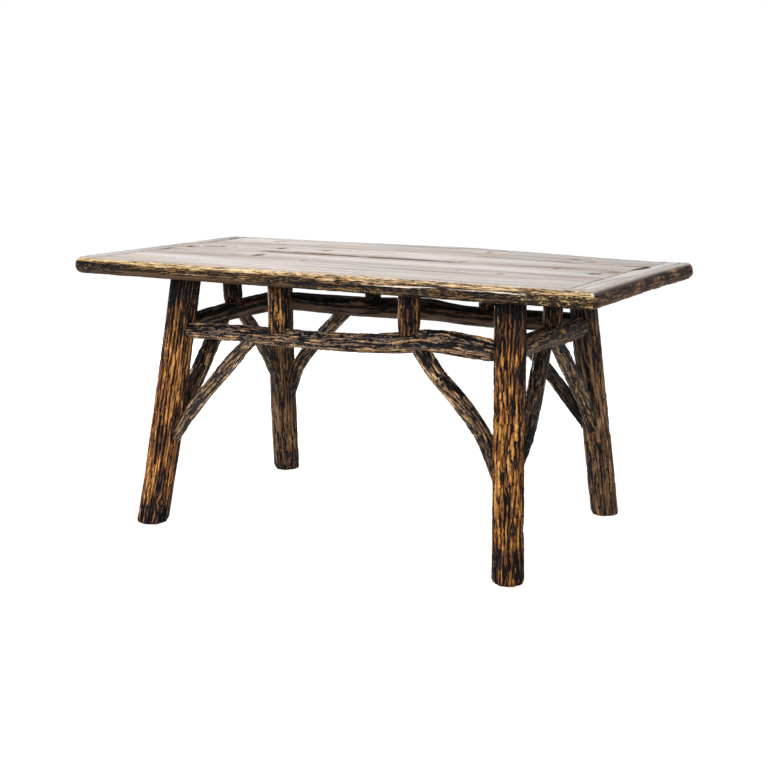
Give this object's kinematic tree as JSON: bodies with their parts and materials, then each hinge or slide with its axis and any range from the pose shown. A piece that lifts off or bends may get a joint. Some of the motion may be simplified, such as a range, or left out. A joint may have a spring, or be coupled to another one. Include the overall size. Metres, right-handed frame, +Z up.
{
  "type": "dining table",
  "caption": "Rustic dining table: plank top with breadboard ends and bark-on split-log edging, on splayed log legs tied by rails, short posts and bent braces.",
  "frame": {"origin": "centre of the table's footprint, on the floor", "axes": "+X along the length of the top, to the right as the picture shows it; -Y towards the long side that faces the viewer; +Z up"},
  "size_m": [1.581, 0.813, 0.762],
  "materials": {
    "plank": "weathered, dry, faintly polished by use",
    "breadboard": "weathered, dry, cross grain",
    "edging": "bark on, worn golden along the upper edge, satin",
    "leg": "bark on, oiled, satin",
    "rail": "bark on, oiled, satin",
    "post": "bark on, oiled, satin",
    "brace": "bark on, oiled, semi-gloss",
    "cleat": "rough sawn, dry",
    "nail": "dark oxidised steel"
  },
  "bodies": {
    "root": {"brace_back_left_end": "brace", "brace_back_left_side": "brace", "brace_back_right_end": "brace", "brace_back_right_side": "brace", "brace_front_left_end": "brace", "brace_front_left_side": "brace", "brace_front_right_end": "brace", "brace_front_right_side": "brace", "breadboard_left": "breadboard", "breadboard_right": "breadboard", "cleat_left": "cleat", "cleat_left_middle": "cleat", "cleat_right": "cleat", "cleat_right_middle": "cleat", "edging_back": "edging", "edging_front": "edging", "edging_left": "edging", "edging_right": "edging", "leg_back_left": "leg", "leg_back_right": "leg", "leg_front_left": "leg", "leg_front_right": "leg", "nail_brace_back_left_end_foot": "nail", "nail_brace_back_left_end_head": "nail", "nail_brace_back_left_side_foot": "nail", "nail_brace_back_left_side_head": "nail", "nail_brace_back_right_end_foot": "nail", "nail_brace_back_right_end_head": "nail", "nail_brace_back_right_side_foot": "nail", "nail_brace_back_right_side_head": "nail", "nail_brace_front_left_end_foot": "nail", "nail_brace_front_left_end_head": "nail", "nail_brace_front_left_side_foot": "nail", "nail_brace_front_left_side_head": "nail", "nail_brace_front_right_end_foot": "nail", "nail_brace_front_right_end_head": "nail", "nail_brace_front_right_side_foot": "nail", "nail_brace_front_right_side_head": "nail", "nail_rail_back_leg_back_left": "nail", "nail_rail_back_leg_back_right": "nail", "nail_rail_front_leg_front_left": "nail", "nail_rail_front_leg_front_right": "nail", "nail_rail_left_leg_back_left": "nail", "nail_rail_left_leg_front_left": "nail", "nail_rail_right_leg_back_right": "nail", "nail_rail_right_leg_front_right": "nail", "plank_back": "plank", "plank_back_middle": "plank", "plank_front": "plank", "plank_front_middle": "plank", "post_back_left": "post", "post_back_right": "post", "post_front_left": "post", "post_front_right": "post", "post_left_end": "post", "post_right_end": "post", "rail_back": "rail", "rail_front": "rail", "rail_left": "rail", "rail_right": "rail"}
  },
  "joints": []
}
